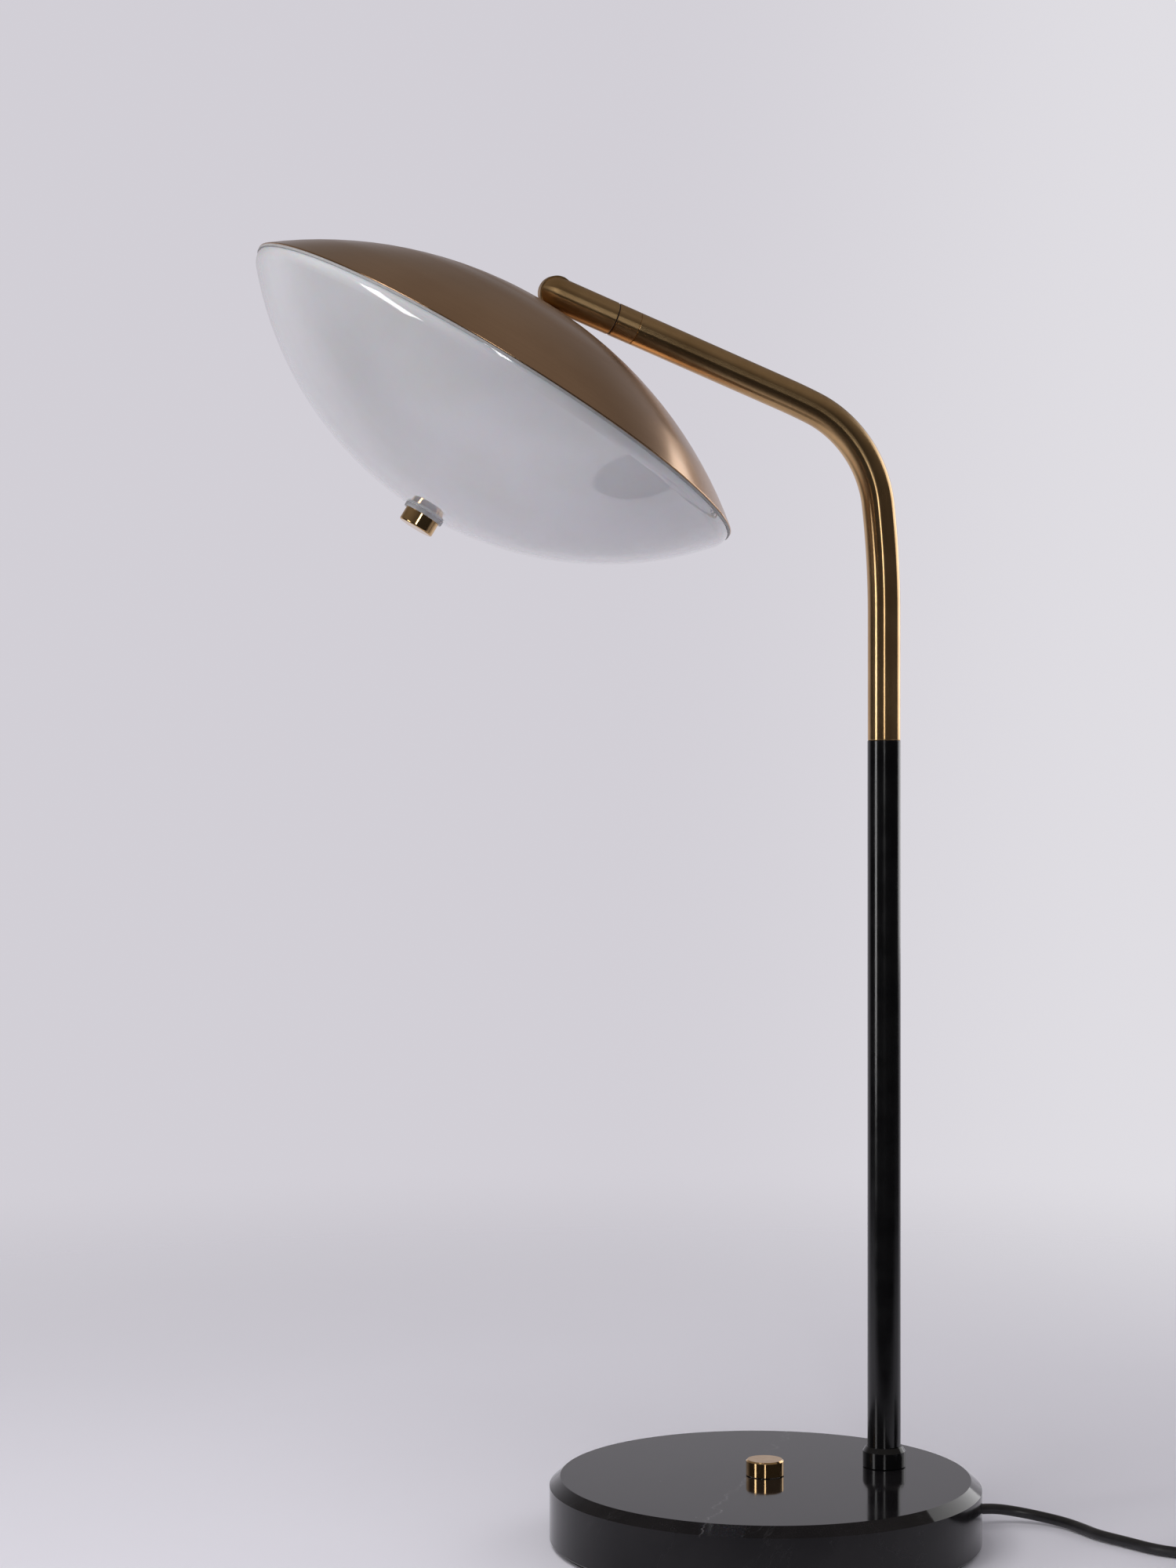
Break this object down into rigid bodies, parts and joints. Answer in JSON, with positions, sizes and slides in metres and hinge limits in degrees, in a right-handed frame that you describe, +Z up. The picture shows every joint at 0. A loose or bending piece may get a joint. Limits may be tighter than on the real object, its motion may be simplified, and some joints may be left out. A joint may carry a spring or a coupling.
{
  "type": "desk lamp",
  "caption": "Desk lamp with a round stone base, dimmer knob, bent arm, ball-nosed tilt hinge and shallow metal dome closed by an opal bowl.",
  "frame": {"origin": "centre of the round base's underside, on the surface that the lamp stands on", "axes": "+Z up; the pole stands at +X and the arm reaches towards -X; -Y is the side that the picture was taken from"},
  "size_m": [0.5409, 0.263, 0.6092],
  "materials": {
    "honed_stone": "polished black stone with a few fine white veins",
    "soft_pad": "felt",
    "zinc_steel": "zinc plated",
    "brass_insert": "turned",
    "satin_brass": "brushed lengthwise, antique",
    "polished_brass": "polished",
    "black_tube": "satin black",
    "dark_washer": "matt",
    "bronze_dome": "spun, satin, bronze toned",
    "tray_aluminium": "satin",
    "board_white": "white mask",
    "phosphor": "matt",
    "white_plastic": "fine texture",
    "opal_glass": "glossy opal",
    "clear_ring": "clear",
    "grey_rubber": "matt",
    "black_plastic": "moulded, fine texture",
    "cord_sheath": "flexible sheath, satin",
    "inner_sheath": "flexible sheath",
    "plug_metal": "nickel plated"
  },
  "bodies": {
    "stand": {"base_stone": "honed_stone", "base_pad": "soft_pad", "base_plate": "zinc_steel", "plate_inserts": "brass_insert", "plate_screws": "zinc_steel", "dimmer_case": "black_plastic", "dimmer_bush": "zinc_steel", "dimmer_nut": "zinc_steel", "pole_nipple": "zinc_steel", "pole_washer": "zinc_steel", "pole_nut": "zinc_steel", "pole_foot": "zinc_steel", "pole_tube": "black_tube", "pole_collar": "black_tube", "tube_coupler": "zinc_steel", "arm_tube": "satin_brass", "arm_lead": "inner_sheath", "arm_ferrule": "satin_brass", "swivel_washer": "dark_washer", "driver_box": "white_plastic", "terminal_block": "white_plastic", "cord_clamp": "black_plastic", "clamp_screws": "zinc_steel", "lead_tail": "cord_sheath", "cord_relief": "black_plastic", "mains_cord": "cord_sheath", "cord_coil": "cord_sheath", "plug_body": "black_plastic", "plug_pins": "plug_metal"},
    "knuckle": {"knuckle": "satin_brass", "knuckle_lead": "inner_sheath", "swivel_nut": "zinc_steel", "hinge_screw": "satin_brass", "tongue_washers": "dark_washer"},
    "head": {"hinge_tongue": "satin_brass", "dome_shell": "bronze_dome", "dome_washer": "zinc_steel", "dome_nut": "zinc_steel", "light_tray": "tray_aluminium", "led_board": "board_white", "led_chips": "phosphor", "board_screws": "zinc_steel", "board_terminal": "white_plastic", "rod_bridge": "zinc_steel", "rod_nut": "zinc_steel", "centre_rod": "zinc_steel", "head_lead": "inner_sheath", "bowl_seal": "grey_rubber", "diffuser_bowl": "opal_glass", "finial_washer": "clear_ring", "finial_cap": "satin_brass"},
    "dimmer": {"dimmer_knob": "polished_brass", "dimmer_shaft": "zinc_steel"}
  },
  "joints": [
    {"name": "head_swivel", "type": "hinge", "parent": "stand", "child": "knuckle", "pos_m": [-0.10401, 0, 0.58886], "axis": [-0.9373, 0, 0.3486], "range_deg": [-165, 165]},
    {"name": "head_tilt", "type": "hinge", "parent": "knuckle", "child": "head", "pos_m": [-0.10401, 0, 0.58886], "axis": [0.0397, 0.9935, 0.1068], "range_deg": [-7, 90]},
    {"name": "dimmer_turn", "type": "hinge", "parent": "stand", "child": "dimmer", "pos_m": [0, 0, 0.03], "axis": [0, 0, 1], "range_deg": [0, 300]}
  ]
}
